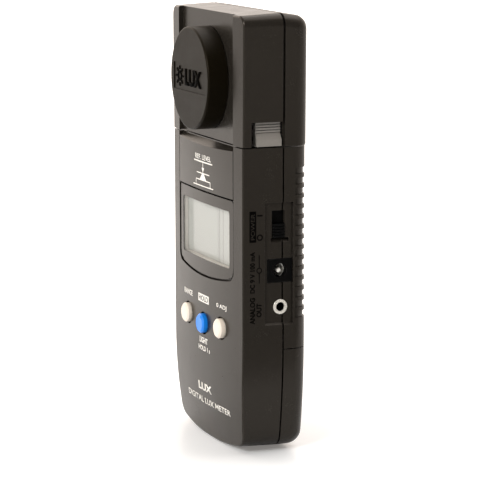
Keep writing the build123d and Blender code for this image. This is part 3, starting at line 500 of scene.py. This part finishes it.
def display_bezel():
    """Thin wall from the display glass up to the pane, closed all round."""
    bezel = bmesh.new()
    inner = view_outline(0.05, VIEW_CORNER)
    outer = view_outline(0.05 + BEZEL_SKIN, 1.6)
    pane = surface_tree("display_window")
    glass_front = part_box("lcd_panel")[0].y
    rings = []
    for outline, front in ((inner, True), (inner, False), (outer, False), (outer, True)):
        ring = []
        for x, z in outline:
            y = glass_front
            if front:
                start = Vector((x * MM, -RAY_START, z * MM))
                y = pane.ray_cast(start, Vector((0, 1, 0)))[0].y + BEZEL_REST * MM
            ring.append(bezel.verts.new((x * MM, y, z * MM)))
        rings.append(ring)
    for first, second in zip(rings, rings[1:] + rings[:1]):
        for index in range(len(first)):
            bezel.faces.new((first[index - 1], first[index], second[index], second[index - 1]))
    bmesh.ops.recalc_face_normals(bezel, faces=bezel.faces[:])
    place("display_bezel", bezel, bezel_paint, "body")


window_mask()
painted_reflections()
display_bezel()

# ---------------------------------------------------------------- stage
AZIMUTH, PITCH, ROLL = (math.radians(angle) for angle in (67.376, 10.03, -0.09))
FLOOR_SIZE = 12
FLOOR_COLOUR = (0.86, 0.90, 0.94, 1)
GLOW_COLOUR = (1, 0.95, 0.90, 1)
CARD_SIZE = (1.4, 1.0, 1.0)
CARD_DISTANCE = 0.6
CARD_LIFT = 0.001
BRIGHT_SIDE = Vector((-0.85, 0.45, 0.25)).normalized()
SKY_SEEN = 1.1                  # strength of the plain background


def floor():
    """Pale floor whose own glow keeps it white, but dim where the instrument would mirror it."""
    bpy.ops.mesh.primitive_plane_add(size=FLOOR_SIZE, location=(0, 0, 0))
    plane = bpy.context.object
    plane.name = "floor"
    white = Shader("floor_white")
    white.set(Roughness=0.3, Base_Color=FLOOR_COLOUR, Emission_Color=GLOW_COLOUR)
    distance = white.add("ShaderNodeVectorMath", operation="LENGTH")
    white.wire(white.coords, distance.inputs[0])
    metres = distance.outputs["Value"]
    near = white.spread(metres, 0.0, 0.42, 0.10, 0.5)
    far = white.spread(metres, 1.0, 0.4, 0.62, 0.95)
    reflected = white.math("MULTIPLY", near, far)
    seen = white.spread(metres, 0.2, 0.75, 0.035, 0.11)
    rays = white.add("ShaderNodeLightPath").outputs["Is Camera Ray"]
    glow = white.math("ADD", white.math("MULTIPLY", rays, seen), reflected)
    white.wire(glow, white.bsdf.inputs["Emission Strength"])
    plane.data.materials.append(white.material)


def dark_card():
    """Grey card on the floor that only shows in reflections on the right side."""
    bpy.ops.mesh.primitive_plane_add(size=1.0, location=(0, 0, 0))
    plane = bpy.context.object
    plane.name = "dark_card"
    plane.scale = CARD_SIZE
    plane.rotation_euler = (0, 0, AZIMUTH)
    towards = Vector((math.sin(AZIMUTH), -math.cos(AZIMUTH), 0))
    plane.location = towards * CARD_DISTANCE + Vector((0, 0, CARD_LIFT))
    card = Shader("dark_card")
    card.set(Roughness=0.9, Base_Color=(0.20, 0.20, 0.20, 1))
    plane.data.materials.append(card.material)
    for kind in ("camera", "diffuse", "transmission", "shadow"):
        setattr(plane, "visible_" + kind, False)


def studio_world():
    """Soft gradient that is brightest behind the left side, with a plain white seen by the camera."""
    world = bpy.data.worlds.new("studio")
    bpy.context.scene.world = world
    world.use_nodes = True
    sky = Tree(world.node_tree, "Generated")
    background = sky.tree.nodes["Background"]
    dot = sky.add("ShaderNodeVectorMath", operation="DOT_PRODUCT")
    dot.inputs[1].default_value = BRIGHT_SIDE
    sky.wire(sky.coords, dot.inputs[0])
    gradient = sky.spread(dot.outputs["Value"], 0.08, 1.5, -0.3, 0.9)
    rays = sky.add("ShaderNodeLightPath").outputs["Is Camera Ray"]
    strength = sky.blend(rays, gradient, SKY_SEEN, "FLOAT")
    sky.wire(strength, background.inputs["Strength"])
    sky.wire(sky.blend(rays, (1, 0.90, 0.82), (1, 0.95, 0.895)), background.inputs["Color"])


def softbox(name, location, target, size, power, colour=(1, 1, 1)):
    data = bpy.data.lights.new(name, "AREA")
    data.shape = "RECTANGLE"
    data.size, data.size_y = size
    data.energy = power
    data.color = colour
    light = bpy.data.objects.new(name, data)
    bpy.context.scene.collection.objects.link(light)
    light.location = location
    light.rotation_euler = (Vector(target) - Vector(location)).to_track_quat("-Z", "Y").to_euler()


floor()
dark_card()
studio_world()
softbox("overhead", (-0.1, 0.25, 1.3), (0, 0, 0), (1.2, 1.2), 6.0)
softbox("left", (-1.2, -0.5, 0.6), (0, 0, 0.08), (0.9, 0.9), 3.0, (1, 0.86, 0.72))
softbox("front", (0.62, -1.05, 0.75), (0, 0, 0.08), (0.5, 0.5), 14.0, (1, 0.975, 0.94))

# ---------------------------------------------------------------- camera
scene = bpy.context.scene
camera_data = bpy.data.cameras.new("camera")
camera = bpy.data.objects.new("camera", camera_data)
scene.collection.objects.link(camera)
scene.camera = camera
camera_data.sensor_width = 36.0
camera_data.lens = 168.82
camera_data.shift_x = -0.0024
camera_data.shift_y = 0.0194
camera_data.clip_start = 0.05
turn = Matrix.Rotation(AZIMUTH, 4, "Z")
turn @= Matrix.Rotation(math.pi / 2 - PITCH, 4, "X")
turn @= Matrix.Rotation(ROLL, 4, "Z")
camera.matrix_world = Matrix.Translation((0.8156, -0.3390, 0.2315)) @ turn

scene.view_settings.view_transform = "Standard"
scene.view_settings.look = "None"
